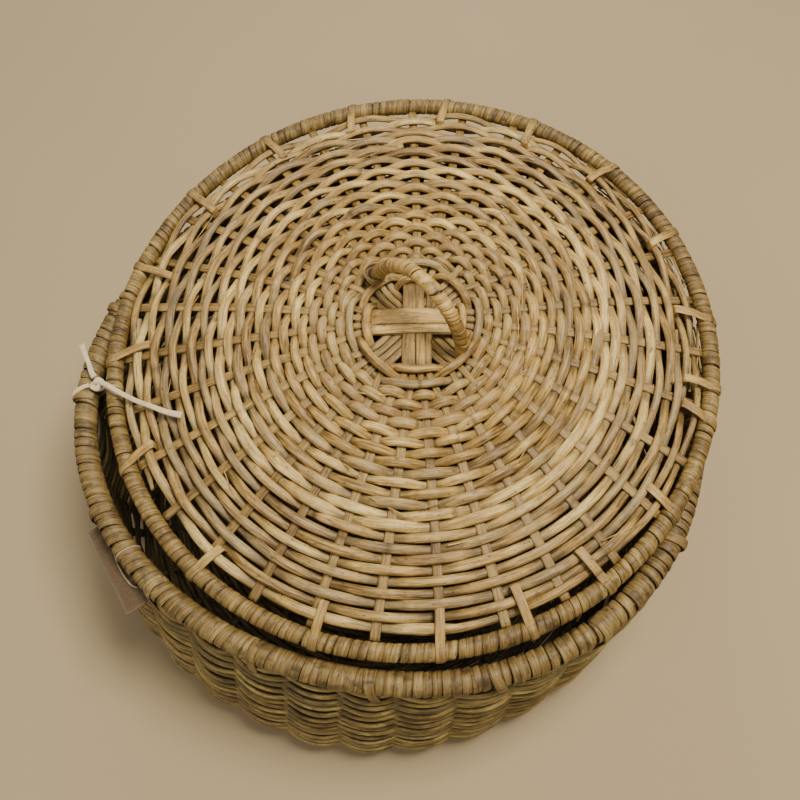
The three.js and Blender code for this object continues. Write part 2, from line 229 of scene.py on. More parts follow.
def stake_profile(share):
    share = np.asarray(share, float)
    bend = np.clip((share - 0.5) / 0.25, 0, 1) * math.pi / 2
    climb = np.clip((share - 0.75) / 0.25, 0, 1)
    wall_z = mix(FLOOR_Z + CORNER_HEIGHT, STAKE_TOP, climb)
    drawn = np.maximum(wall_z - FLOOR_Z - CORNER_HEIGHT, 0) / (RIM_Z - FLOOR_Z - CORNER_HEIGHT)
    r = np.where(share < 0.5, FLOOR_RADIUS * share / 0.5,
                 FLOOR_RADIUS + (BELLY_RADIUS - FLOOR_RADIUS) * np.sin(bend))
    r = np.where(share > 0.75, BELLY_RADIUS - (BELLY_RADIUS - RIM_RADIUS) * drawn ** 2, r)
    z = np.where(share > 0.75, wall_z, FLOOR_Z + CORNER_HEIGHT * (1 - np.cos(bend)))
    return r, z


PROFILE_SHARE = np.linspace(0, 1, 1200)
PROFILE_R, PROFILE_Z = stake_profile(PROFILE_SHARE)
PROFILE_S = np.concatenate([[0], np.cumsum(np.hypot(np.diff(PROFILE_R), np.diff(PROFILE_Z)))])
PROFILE_END = PROFILE_S[-1]


def profile_at(s):
    return np.interp(s, PROFILE_S, PROFILE_R), np.interp(s, PROFILE_S, PROFILE_Z)


def basket_place(s, angle, lift):
    """Points lift outside the stakes, s along them from the middle of the floor."""
    r, z = profile_at(s)
    r_before, z_before = profile_at(s - 1.5)
    r_after, z_after = profile_at(s + 1.5)
    out = unit(np.stack([z_after - z_before, r_before - r_after], -1))
    flat = s < 60
    facing = polar(np.where(flat, 0, out[:, 0]), angle, np.where(flat, -1, out[:, 1]))
    return shape_basket(polar(r, angle, z) + facing * np.reshape(lift, (-1, 1))), facing


class Fan:
    """Four crossing bundles of flat strips whose ends spread evenly round the circle."""

    def __init__(self, count, pitch, turn, start, straight, spread):
        self.count, self.pitch, self.turn, self.start = count, pitch, turn, start
        self.straight, self.spread = straight, spread

    def plan(self, k, r):
        """Where strip end k lies at radius r."""
        k, r = np.broadcast_arrays(np.asarray(k), np.asarray(r, float))
        group, member = k // 4, k % 4
        along = np.radians(self.turn + group * 45)
        offset = (member - 1.5) * self.pitch
        end = np.radians(self.start + k * 360 / self.count)
        share = np.where(k >= WHOLE_ENDS, 1, smooth(r, self.straight, self.spread))
        x, y = turned(r, offset, along)
        return mix(x, r * np.cos(end), share), mix(y, r * np.sin(end), share)

    def angle(self, k, r):
        end = np.radians(self.start + k * 360 / self.count)
        x, y = self.plan(np.mod(k, self.count), r)
        off = np.arctan2(y, x) - end
        return end + (off + math.pi) % TAU - math.pi

    def angle_between(self, n, r):
        """The angle of a row at n strips round, which needn't be a whole number."""
        below = np.floor(n).astype(int)
        return mix(self.angle(below, r), self.angle(below + 1, r), n - below)

    def layer(self, angle):
        """Which layer of the crossing lies at an angle, 0 to 3."""
        steps = (angle - math.radians(self.turn)) / math.radians(45)
        below = np.floor(steps).astype(int)
        return mix((below % 4) * 1.0, ((below + 1) % 4) * 1.0, smooth(steps - below, 0.2, 0.8))


LID_FAN = Fan(SPOKE_COUNT, 4.7, 4, -22, 24, 60)
BASE_FAN = Fan(STAKE_COUNT, 6.4, 0, -11, 40, 90)


def strip_ends(group, member):
    """The two ends of one strip, as they are counted round the fan."""
    return (group + 4) * 4 + 3 - member, group * 4 + member


def strip_names(kind):
    return [f"{kind}_{group}_{member}" for group in range(1, 5) for member in range(1, 5)]


def lid_layer_drop(r):
    return 1.9 * (1 - smooth(r, 26, 46))


def base_layer_lift(r):
    return 2.3 * (1 - smooth(r, 38, 62))


# ---- swept canes
def round_outline(radius, sides, flat=1.0):
    """Sideways and upwards offsets of a round or flattened cane."""
    angle = TAU * np.arange(sides) / sides
    return np.stack([radius * np.cos(angle), radius * flat * np.sin(angle)], 1)


def strip_outline(width, thick):
    """A flat cane: flat below, crowned above."""
    half = width / 2
    return np.array([(-half, 0), (-half * 0.92, thick * 0.55), (-half * 0.55, thick * 0.93),
                     (0, thick), (half * 0.55, thick * 0.93), (half * 0.92, thick * 0.55),
                     (half, 0), (0, -thick * 0.1)])[::-1]


class Canes:
    """Collects swept canes and makes them one mesh. Each point also keeps facts for the
    material: fibre (along the cane and across it), tint (the cane's own chances) and one for
    wear and shade: how deep it lies on its cane (the materials paint shade on the underside),
    how dirty it is together with painted shade where it runs under another cane, and the knots."""

    def __init__(self, rng):
        self.rng = rng
        self.points, self.fibre, self.tint, self.wear_and_shade = [], [], [], []
        self.quads, self.caps = [], []
        self.count = 0

    def add(self, centre, up, outline, size=1.0, squeeze=1.0, tint=None, dirt=0.0):
        """Sweeps an outline along a line. size scales all of it and squeeze its width only;
            both, tint and the amount of darkening (dirty marks together with painted shade) may be
            one value, or one for each point of the line."""
        n, m = len(centre), len(outline)
        ahead = unit(np.gradient(centre, axis=0))
        side = unit(np.cross(ahead, np.broadcast_to(up, centre.shape)))
        top = np.cross(side, ahead)
        shape = outline[None] * np.broadcast_to(size, (n,))[:, None, None]
        across = shape[:, :, 0] * np.broadcast_to(squeeze, (n,))[:, None]
        rise = shape[:, :, 1]
        points = centre[:, None] + side[:, None] * across[..., None] + top[:, None] * rise[..., None]
        along = running_length(centre) + self.rng.uniform(0, 4000)
        shift = self.rng.uniform(-60, 60)
        chances = self.rng.uniform(0, 1, 3) if tint is None else tint
        # 0 on top of the cane and 1 on its underside: the materials paint shade where it is high
        depth = 0.5 - 0.5 * rise / np.abs(rise).max()
        soil_and_painted_shade = np.broadcast_to(dirt, (n,))
        fibre = np.stack([np.repeat(along, m), across.ravel() + shift, rise.ravel() + shift], 1)
        self.points.append(points.reshape(-1, 3) * MM)
        self.fibre.append(fibre * MM)
        self.tint.append(np.repeat(np.broadcast_to(chances, (n, 3)), m, 0))
        self.wear_and_shade.append(np.stack([depth.ravel(), np.repeat(soil_and_painted_shade, m),
                                   np.repeat(self.knots(along), m)], 1))
        ring = np.arange(n - 1)[:, None] * m
        j = np.arange(m)[None]
        after = (j + 1) % m
        quads = np.stack([ring + j, ring + after, ring + m + after, ring + m + j], -1)
        self.quads.append(quads.reshape(-1, 4) + self.count)
        self.caps.append(np.arange(m)[::-1] + self.count)
        self.caps.append(np.arange(m) + (n - 1) * m + self.count)
        self.count += n * m

    def knots(self, along):
        """The knots where the cane's leaves grew: a thin dark ring now and then."""
        gap = self.rng.uniform(150, 260)
        off = np.abs((along + self.rng.uniform(0, gap)) % gap - gap / 2)
        return np.exp(-(off / 1.1) ** 2)

    def build(self, name, material):
        mesh = bpy.data.meshes.new(name)
        points = np.concatenate(self.points)
        quads = np.concatenate(self.quads)
        loops = np.concatenate([quads.ravel()] + self.caps).astype(np.int32)
        sizes = np.array([4] * len(quads) + [len(cap) for cap in self.caps], np.int32)
        starts = np.cumsum(sizes, dtype=np.int32) - sizes
        mesh.vertices.add(len(points))
        mesh.vertices.foreach_set("co", points.astype(np.float32).ravel())
        mesh.loops.add(len(loops))
        mesh.loops.foreach_set("vertex_index", loops)
        mesh.polygons.add(len(sizes))
        mesh.polygons.foreach_set("loop_start", starts)
        mesh.polygons.foreach_set("use_smooth", np.arange(len(sizes)) < len(quads))
        mesh.update(calc_edges=True)
        mesh.validate()
        for label, values in (("fibre", self.fibre), ("tint", self.tint), ("wear_and_shade", self.wear_and_shade)):
            layer = mesh.attributes.new(label, "FLOAT_VECTOR", "POINT")
            layer.data.foreach_set("vector", np.concatenate(values).astype(np.float32).ravel())
        mesh.materials.append(material)
        return put_in_scene(name, mesh)


def settle(piece, body, slot, *nodes):
    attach(piece, body)
    if nodes:
        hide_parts(*nodes)
    return piece


# ---- materials
class Nodes:
    """Short names for making a material's nodes."""

    def __init__(self, name):
        self.material = bpy.data.materials.new(name)
        self.material.use_nodes = True
        self.tree = self.material.node_tree
        self.shader = self.tree.nodes["Principled BSDF"]

    def link(self, source, target):
        self.tree.links.new(source, target)

    def fill(self, socket, value):
        """Gives a socket a number or a colour, or links another node's output to it."""
        if isinstance(value, (int, float)):
            socket.default_value = value
        elif isinstance(value, tuple):
            socket.default_value = (*value, 1)
        else:
            self.link(value, socket)

    def fact(self, label):
        node = self.tree.nodes.new("ShaderNodeAttribute")
        node.attribute_name = label
        return node.outputs["Vector"]

    def place(self):
        return self.tree.nodes.new("ShaderNodeTexCoord").outputs["Object"]

    def split(self, vector):
        node = self.tree.nodes.new("ShaderNodeSeparateXYZ")
        self.link(vector, node.inputs[0])
        return node.outputs

    def scaled(self, vector, scale):
        node = self.tree.nodes.new("ShaderNodeMapping")
        self.link(vector, node.inputs["Vector"])
        node.inputs["Scale"].default_value = scale
        return node.outputs[0]

    def noise(self, vector, scale, detail, rough):
        node = self.tree.nodes.new("ShaderNodeTexNoise")
        self.link(vector, node.inputs["Vector"])
        for socket, number in (("Scale", scale), ("Detail", detail), ("Roughness", rough)):
            node.inputs[socket].default_value = number
        return node.outputs["Fac"]

    def grain(self, vector, scale, detail, rough):
        """Noise drawn out along the fibre."""
        return self.noise(self.scaled(vector, scale), 1.0, detail, rough)

    def remap(self, value, low, high, to_low=0.0, to_high=1.0):
        node = self.tree.nodes.new("ShaderNodeMapRange")
        node.interpolation_type = "SMOOTHSTEP"
        self.link(value, node.inputs["Value"])
        for socket, number in zip(("From Min", "From Max", "To Min", "To Max"),
                                  (low, high, to_low, to_high)):
            node.inputs[socket].default_value = number
        return node.outputs["Result"]

    def math(self, kind, a, b):
        node = self.tree.nodes.new("ShaderNodeMath")
        node.operation = kind
        self.fill(node.inputs[0], a)
        self.fill(node.inputs[1], b)
        return node.outputs[0]

    def blend(self, amount, a, b):
        node = self.tree.nodes.new("ShaderNodeMix")
        node.data_type = "RGBA"
        node.clamp_result = True
        self.fill(node.inputs[0], amount)
        self.fill(node.inputs[6], a)
        self.fill(node.inputs[7], b)
        return node.outputs[2]

    def stain_and_painted_shade(self, colour, value, low, high, most, shade):
        """Blends a shade in where value goes from low to high, up to most of it."""
        return self.blend(self.remap(value, low, high, 0, most), colour, shade)

    def ramp(self, value, stops):
        node = self.tree.nodes.new("ShaderNodeValToRGB")
        self.link(value, node.inputs[0])
        band = node.color_ramp
        while len(band.elements) < len(stops):
            band.elements.new(0.5)
        for element, (at, colour) in zip(band.elements, stops):
            element.position = at
            element.color = (*colour, 1)
        return node.outputs[0]

    def bump(self, height, strength, distance):
        node = self.tree.nodes.new("ShaderNodeBump")
        node.inputs["Strength"].default_value = strength
        node.inputs["Distance"].default_value = distance
        self.link(height, node.inputs["Height"])
        self.link(node.outputs[0], self.shader.inputs["Normal"])

    def paint(self, colour, rough):
        self.link(colour, self.shader.inputs["Base Color"])
        self.link(rough, self.shader.inputs["Roughness"])

    def set(self, **values):
        for socket, value in values.items():
            self.shader.inputs[socket.replace("_", " ")].default_value = value


def cane_material(name, stops, grey, soil_and_painted_shade, gloss, mixed=0.38, blotched=0.25):
    """Peeled cane: long fibres, colour that drifts along each cane, knots, specks, dirty marks,
    and painted shade on each cane's underside and where it runs under another cane.
    gloss is the least roughness, mixed says how much one cane differs from the next, and
    blotched how stained they all are."""
    n = Nodes(name)
    fibre, place = n.fact("fibre"), n.place()
    tint = n.split(n.fact("tint"))
    wear_and_shade = n.split(n.fact("wear_and_shade"))
    strand = n.grain(fibre, (42, 560, 560), 4, 0.65)
    hair = n.grain(fibre, (90, 1900, 1900), 3, 0.6)
    drift = n.grain(fibre, (24, 110, 110), 3, 0.6)
    bruise = n.grain(fibre, (75, 190, 190), 2, 0.6)
    specks = n.grain(fibre, (330, 520, 520), 2, 0.7)
    patch = n.noise(place, 21, 3, 0.6)
    blotch = n.noise(place, 105, 4, 0.65)
    tone = n.math("MULTIPLY", tint[0], mixed)
    for value, low, most in ((strand, 0.34, 0.40), (drift, 0.32, 0.24), (patch, 0.32, 0.14)):
        tone = n.math("ADD", tone, n.remap(value, low, 1 - low, 0, most))
    tone = n.math("ADD", tone, 0.11 - mixed / 2)
    colour = n.ramp(tone, stops)
    greyed = n.math("ADD", tint[2], n.math("MULTIPLY", patch, 0.5))
    for value, low, high, most, shade in (
        (greyed, 0.85, 1.40, 0.6, grey), (tint[1], 0.75, 1.0, 0.35, REDDISH),
        (strand, 0.56, 0.72, 0.62, soil_and_painted_shade), (hair, 0.54, 0.70, 0.6, soil_and_painted_shade),
        (hair, 0.45, 0.30, 0.5, stops[-1][1]), (bruise, 0.68, 0.75, 0.7, BRUISE),
        (blotch, 0.48, 0.66, blotched, soil_and_painted_shade), (specks, 0.64, 0.71, 0.8, soil_and_painted_shade),
    ):
        colour = n.stain_and_painted_shade(colour, value, low, high, most, shade)
    colour = n.blend(n.math("MULTIPLY", wear_and_shade[2], 0.6), colour, soil_and_painted_shade)
    # Painted shade, with some grimy soiling, darkens the underside of each cane in patches.
    underside_grime_and_painted_shade = n.math("MULTIPLY", n.remap(wear_and_shade[0], 0.30, 0.72), n.remap(patch, 0.3, 0.7, 0.65, 0.98))
    # Dirty marks, and painted shade where the cane runs under a spoke or a stake.
    stain_and_painted_shade = n.math("MULTIPLY", wear_and_shade[1], n.remap(drift, 0.3, 0.65, 0.55, 1.0))
    colour = n.blend(n.math("MAXIMUM", underside_grime_and_painted_shade, stain_and_painted_shade), colour, soil_and_painted_shade)
    rough = n.math("ADD", n.math("MULTIPLY", strand, 0.30), gloss)
    n.paint(colour, n.math("ADD", rough, n.math("MULTIPLY", underside_grime_and_painted_shade, 0.25)))
    height = n.math("ADD", strand, n.math("MULTIPLY", hair, 0.3))
    height = n.math("ADD", height, n.math("MULTIPLY", wear_and_shade[2], 0.9))
    n.bump(height, 0.85, 0.0008)
    n.set(Specular_IOR_Level=0.45, Coat_Weight=0.05, Coat_Roughness=0.35)
    return n.material


def cord_material(name, light, dark, fuzz=0.35):
    """Soft spun cotton: twisted fibres, matt, a little grubby, with painted shade on the tape's
    underside.
    """
    n = Nodes(name)
    fibre, place = n.fact("fibre"), n.place()
    wear_and_shade = n.split(n.fact("wear_and_shade"))
    hairs = n.grain(fibre, (900, 2600, 2600), 4, 0.7)
    grub = n.noise(place, 90, 3, 0.6)
    colour = n.stain_and_painted_shade(light, hairs, 0.35, 0.75, 0.5, dark)
    colour = n.stain_and_painted_shade(colour, grub, 0.45, 0.8, 0.6, dark)
    # painted shade on the underside of the tape, and on the side that lies against the hoop
    colour = n.stain_and_painted_shade(colour, wear_and_shade[0], 0.4, 1.0, 0.55, dark)
    n.paint(colour, n.remap(hairs, 0, 1, 0.75, 0.95))
    n.bump(hairs, 0.7, 0.0006)
    n.set(Sheen_Weight=fuzz, Sheen_Roughness=0.5)
    return n.material


def card_material(name):
    """Grey-brown kraft card with pulp fibres, scuffs and paler worn edges."""
    n = Nodes(name)
    place = n.place()
    wear_and_shade = n.split(n.fact("wear_and_shade"))
    pulp = n.grain(place, (700, 700, 300), 4, 0.7)
    scuff = n.noise(place, 70, 4, 0.6)
    colour = n.ramp(pulp, [(0.3, (0.070, 0.040, 0.015)), (0.7, (0.125, 0.080, 0.034))])
    colour = n.stain_and_painted_shade(colour, scuff, 0.5, 0.72, 0.4, (0.15, 0.085, 0.035))
    colour = n.blend(n.math("MULTIPLY", wear_and_shade[1], 0.4), colour, (0.20, 0.14, 0.075))
    n.paint(colour, n.remap(scuff, 0.2, 0.8, 0.62, 0.85))
    n.bump(n.math("ADD", pulp, n.math("MULTIPLY", scuff, 1.5)), 0.35, 0.0004)
    return n.material


def floor_material():
    n = Nodes("floor_paper")
    cloud = n.noise(n.place(), 3, 2, 0.5)
    colour = n.ramp(cloud, [(0.3, (0.395, 0.295, 0.160)), (0.7, (0.415, 0.310, 0.170))])
    n.paint(colour, n.remap(cloud, 0, 1, 0.8, 0.9))
    return n.material


LID_STOPS = [(0.08, (0.095, 0.046, 0.010)), (0.34, (0.34, 0.192, 0.046)),
             (0.60, (0.60, 0.378, 0.104)), (0.88, (0.95, 0.70, 0.255))]
WALL_STOPS = [(0.08, (0.050, 0.028, 0.005)), (0.38, (0.205, 0.130, 0.028)),
              (0.65, (0.39, 0.270, 0.066)), (0.92, (0.68, 0.50, 0.170))]
EDGE_STOPS = [(0.08, (0.050, 0.023, 0.004)), (0.36, (0.155, 0.088, 0.018)),
              (0.62, (0.275, 0.170, 0.041)), (0.90, (0.52, 0.370, 0.120))]
BIND_STOPS = [(0.08, (0.060, 0.031, 0.006)), (0.36, (0.155, 0.092, 0.022)),
              (0.62, (0.265, 0.170, 0.047)), (0.90, (0.43, 0.305, 0.11))]
PALE_STOPS = [(0.08, (0.090, 0.043, 0.009)), (0.36, (0.31, 0.174, 0.038)),
              (0.62, (0.52, 0.315, 0.080)), (0.90, (0.82, 0.56, 0.18))]
# The dark brown serves for dirty marks and also for painted shade under and between canes.
GREY, SOIL_AND_PAINTED_SHADE = (0.27, 0.215, 0.12), (0.026, 0.013, 0.003)
BIND_GREY = (0.17, 0.135, 0.065)
# The wall's dark brown also serves both for dirty marks and for painted shade.
WALL_GREY, WALL_SOIL_AND_PAINTED_SHADE = (0.17, 0.13, 0.05), (0.016, 0.009, 0.002)
REDDISH, BRUISE = (0.26, 0.125, 0.05), (0.15, 0.06, 0.02)


# ---- cord tie
LONG_TAIL = [(-172.2, 6, 146.5), (-169.6, 4.6, 153), (-163.2, 0.6, 158.8), (-155.8, -3.6, 160.2),
             (-149.2, -6.7, 160.6), (-141.9, -9.8, 161), (-130.9, -13.5, 162), (-120.8, -17, 163.2),
             (-110.8, -19.1, 164.6)]
SHORT_TAIL = [(-179.5, 12.3, 145.4), (-182.4, 16.4, 145.2), (-185.9, 22.7, 144.6),
              (-190.6, 30.1, 142.8), (-195.6, 38, 139.6)]


def add_tape(canes, path, up, width=TAPE_WIDTH, thick=TAPE_THICK, squeeze=1.0):
    """A soft flat cotton tape with rounded edges and cut ends."""
    angle = TAU * np.arange(14) / 14
    sideways = np.abs(np.cos(angle)) ** 0.55 * np.sign(np.cos(angle))
    upwards = np.abs(np.sin(angle)) ** 0.7 * np.sign(np.sin(angle))
    outline = np.stack([sideways * width / 2, upwards * thick / 2], 1)
    canes.add(path, up, outline, squeeze=squeeze, tint=COTTON)


def loop_points(centre, radius, start, end, slant):
    """Part of a ring round a hoop; slant is how far it moves along the hoop for each step out."""
    angle = np.radians(np.linspace(start, end, 60))
    out = radius * np.cos(angle)
    return np.stack([centre[0] + out, centre[1] + slant * out, centre[2] + radius * np.sin(angle)], 1)


def add_tail(canes, name, body, points, node, material):
    path = resample(catmull(points, 12), 90)
    squeeze = 1 - 0.2 * np.sin(np.pi * np.linspace(0, 1, 90)) + 0.08 * smooth(np.arange(90), 70, 88)
    add_tape(canes, path, UP, squeeze=squeeze)
    piece = settle(canes.build(name, material), body, "tie_cord", node)


def add_tie(material):
    rng = np.random.default_rng(5)
    add_tail(Canes(rng), "tie_long_tail", "lid", LONG_TAIL, "tie_tail_long", material)
    add_tail(Canes(rng), "tie_short_tail", "basket", SHORT_TAIL, "tie_tail_short", material)

    loop = Canes(rng)
    points = loop_points(RIM_LOOP, RIM_BOUND + 1.7, 72, 372, 0.55)
    add_tape(loop, points, points - RIM_LOOP, 3.0, 1.5)
    settle(loop.build("tie_rim_loop", material), "basket", "tie_cord", "tie_loop_rim")

    loop = Canes(rng)
    points = loop_points(LID_LOOP, LID_BOUND + 0.9, -125, 140, -0.55)
    add_tape(loop, points, points - LID_LOOP, 3.0, 1.3)
    settle(loop.build("tie_lid_loop", material), "lid", "tie_cord", "tie_loop_lid")

    knot = Canes(rng)
    angle = np.linspace(0, 1.4 * TAU, 110)
    for tilt, size, lift in ((0.35, 1.0, 0.0), (1.35, 0.9, 0.7), (2.3, 0.42, 1.0)):
        x, y = turned(3.5 * size * np.cos(angle), 2.9 * size * np.sin(angle), tilt)
        z = 1.2 * np.sin(angle * 2 + tilt) + lift * np.cos(angle)
        add_tape(knot, np.stack([x, y, z], 1) + np.array(KNOT), (0.2, 0, 1), 3.3, 1.7)
    settle(knot.build("tie_wound_knot", material), "basket", "tie_cord", "tie_knot")


# ---- lid
def spoke_outline(width, thick):
    """A flat cane with its corners taken off above."""
    half, h = width / 2, thick / 2
    right = [(half, -h), (half, 0), (half * 0.8, h * 0.75), (half * 0.35, h)]
    return np.array(right + [(-x, y) for x, y in right[::-1]])


def add_cross_strips(canes, rng):
    """The wide flat strips seen where the first and third bundles cross."""
    along = np.linspace(-CROSS_REACH, CROSS_REACH, 60)
    arch = 0.5 * (1 - (along / CROSS_REACH) ** 2) - 1.5 * smooth(np.abs(along), 25, CROSS_REACH)
    for turn, low, high, level, tone in (
        (4, -2.6, 8.3, 1.25, 0.66), (4, -9.3, -3.0, 1.15, 0.95),
        (94, 1.2, 9.4, -0.35, 0.42), (94, -5.0, 0.9, -0.40, 0.60), (94, -9.5, -5.4, -0.45, 0.20),
    ):
        offset = (low + high) / 2 + 0.35 * waves(rng, 3, 0.02, 0.08)(along)
        x, y = turned(along, offset, math.radians(turn))
        z = dome_height(np.hypot(x, y)) + level + arch
        # The vertical strips are soiled, and their back half is darkened more as a painted shadow of
        # the handle; the strips across are barely soiled.
        dirt = 0.20 + 0.50 * smooth(along, 4, 20) if turn > 45 else 0.08
        canes.add(shape_lid(np.stack([x, y, z], 1)), UP, spoke_outline(high - low, 1.3),
                  tint=(tone, 0.3, 0.3), dirt=dirt)


def add_spokes(material):
    rng = np.random.default_rng(11)
    canes = Canes(rng)
    for group in range(4):
        for member in range(4):
            sides = []
            for end in strip_ends(group, member):
                r = np.linspace(0, SPOKE_REACH if end < SPOKE_COUNT else SHORT_REACH, 70)
                sides.append(np.column_stack([*LID_FAN.plan(end, r), r]))
            x, y, r = joined(*sides).T
            z = dome_height(r) - group * lid_layer_drop(r)
            away = unit(np.stack([x, y, 0 * r], 1) + 1e-6)
            facing = unit(away * dome_slope(r)[:, None] + UP)
            wide = mix(0.74, 1.0, smooth(r, 42, 75)) * (1 + 0.04 * waves(rng, 4, 0.01, 0.05)(r))
            soil_and_painted_shade = 0.38 + 0.2 * smooth(r, 150, 188) + 0.15 * (1 - smooth(r, 12, 40))
            shade = rng.uniform(0, 1, 3) * (0.55, 0.6, 0.5) + (0.25, 0, 0)
            canes.add(shape_lid(np.stack([x, y, z], 1)), facing,
                      spoke_outline(SPOKE_WIDE, SPOKE_THICK), squeeze=wide, tint=shade, dirt=soil_and_painted_shade)
    add_cross_strips(canes, rng)
    settle(canes.build("lid_flat_spokes", material), "lid", "lid_cane", *strip_names("lid_spoke"))


def bundle_wave(fan, angle, row):
    """The way of a row over whole bundles: +1 over one bundle, -1 under the next, flat over
    each. Every second row goes the other way round."""
    turn = np.cos(4 * (angle - math.radians(fan.turn)))
    return (-1) ** row * np.tanh(2.2 * turn) / math.tanh(2.2)


def cane_size(rng, count, base, uneven):
    drift = waves(rng, 5, 0.02, 0.25)
    return base * (1 + uneven * drift(np.arange(count) / 6))


def add_splinters(canes, rng):
    """Thin fibres that have split away from the canes and stand a little off the lid."""
    for _ in range(SPLINTERS):
        r, angle = rng.uniform(60, 176), rng.uniform(0, TAU)
        length, turn = rng.uniform(14, 38), rng.uniform(-0.35, 0.35)
        along = np.linspace(0, length, 16)
        bend = rng.uniform(-0.006, 0.006) * along ** 2
        lift = 3.4 + rng.uniform(0.5, 3.0) * (along / length) ** 2
        reach = r + along * math.sin(turn) + bend
        centre, facing = lid_place(reach, angle + along * math.cos(turn) / r, lift)
        canes.add(centre, facing, round_outline(0.42, 6), size=mix(1, 0.35, along / length))


def add_broken_fibres(canes, rng):
    """The tangle of dirty fibres at the right, in the gap between the outer row and the hoop."""
    for _ in range(BROKEN_FIBRES):
        r, angle = rng.uniform(180.5, 189.5), math.radians(rng.uniform(-14, 50))
        length, turn = rng.uniform(14, 34), rng.uniform(-0.16, 0.16)
        along = np.linspace(0, length, 14)
        bend = rng.uniform(-0.004, 0.004) * along ** 2
        lift = rng.uniform(-4.5, -0.5) + rng.uniform(-0.06, 0.06) * along
        reach = np.clip(r + along * math.sin(turn) + bend, 179.5, 190.5)
        centre, facing = lid_place(reach, angle + along * math.cos(turn) / r, lift)
        canes.add(centre, facing, round_outline(rng.uniform(0.5, 0.95), 6),
                  size=mix(1, 0.6, along / length), dirt=0.55)


def add_lid_rings(canes, rng, amp):
    """The first rows round the middle, which go over and under whole bundles."""
    turn = np.linspace(-0.02, 1.03, 190)
    angle = math.radians(LID_FAN.start) + TAU * turn
    for k in range(RINGS):
        r = LID_FIRST + RING_PITCH * (k - RINGS + turn) + 0.5 * waves(rng, 4, 1, 4)(angle)
        wave = bundle_wave(LID_FAN, angle, k)
        lift = wave * (amp - 0.1) - LID_FAN.layer(angle) * lid_layer_drop(r)
        lift = lift + 1.1 * smooth(wave, 0, 0.6)
        centre, facing = lid_place(r, angle, lift)
        size = cane_size(rng, len(turn), rng.uniform(0.78, 0.90), 0.08)
        # Darker where the cane passes under a bundle: painted shade, over a little even soiling.
        dirt = 0.1 + 0.4 * smooth(-wave, 0.1, 0.9)
        canes.add(centre, facing, round_outline(LID_CANE, 12, 0.9), size=size, dirt=dirt)


def add_lid_cane(canes, rng, drift, amp, n):
    """One cane of the lid's spiral; n counts the spokes it passes, from the spiral's start."""
    base_r = LID_FIRST + LID_PITCH * n / SPOKE_COUNT
    angle = LID_FAN.angle_between(n, base_r)
    outer = smooth(base_r, 120, 186)
    loose = outer * (0.5 + 0.5 * np.cos(angle - 0.75))
    thin = smooth(base_r, 140, 182) * (0.2 + 0.8 * smooth(np.cos(angle - 0.3), 0.3, 0.9))
    thin = thin + 0.25 * smooth(base_r, 100, 150) * smooth(-np.cos(angle), 0.3, 0.9)
    slack = 0.5 + 0.7 * outer + 0.9 * loose
    own = waves(rng, 6, 0.2, 1.3)
    r = base_r + slack * drift(angle, base_r) + (0.4 + 0.5 * outer + 0.8 * loose) * own(n)
    snug = 1 + 0.08 * waves(rng, 5, 0.2, 2.0)(n)
    wave = np.cos(math.pi * n)
    wave = wave * (1.12 - 0.12 * wave ** 2)
    tail_in = 1 - smooth(n, n[0], n[0] + 1.1)
    tail_out = smooth(n, n[-1] - 0.8, n[-1])
    lift = amp * snug * wave - LID_FAN.layer(angle) * lid_layer_drop(base_r)
    lift = lift - 1.6 * tail_in + rng.uniform(-0.4, 1.4) * tail_out
    r = r + rng.uniform(0.4, 1.5) * tail_out - 1.0 * tail_in
    centre, facing = lid_place(np.minimum(r, LID_LAST + 0.7), angle, lift)
    size = cane_size(rng, len(n), rng.uniform(0.92, 1.12), 0.08)
    size = size * mix(0.95, 1.0, smooth(base_r, 44, 80)) * (1 - 0.30 * thin)
    size = size * mix(1, 0.45, smooth(n, n[-1] - 0.5, n[-1]))
    flat = LID_CANE_FLAT * rng.uniform(0.92, 1.12)
    # A little random soiling on the outer rows, and painted shade where the cane passes under a
    # spoke.
    dirt = 0.12 + 0.2 * outer * rng.uniform(0, 1) + 0.4 * smooth(-wave, 0.1, 0.9)
    canes.add(centre, facing, round_outline(LID_CANE, 12, flat), size=size, dirt=dirt)


def add_lid_weave(material):
    rng = np.random.default_rng(23)
    canes = Canes(rng)
    drift = hand_field(rng, 9, 5, 0.05)
    amp = LID_CANE * LID_CANE_FLAT + SPOKE_THICK / 2 + 0.05
    add_lid_rings(canes, rng, amp)
    steps = 8
    total = (LID_LAST - LID_FIRST) / LID_PITCH * SPOKE_COUNT
    first = 0.0
    while first < total - 2:
        mean_r = LID_FIRST + LID_PITCH * first / SPOKE_COUNT
        turns = rng.uniform(0.6, 1.7) * 110 / (mean_r + 30)
        last = min(first + round(turns * SPOKE_COUNT) + LAP, total)
        add_lid_cane(canes, rng, drift, amp, np.arange(first - 0.75, last, 1 / steps))
        first = last - LAP
    add_splinters(canes, rng)
    add_broken_fibres(canes, rng)
    settle(canes.build("lid_woven_canes", material), "lid", "lid_cane", "lid_weave")


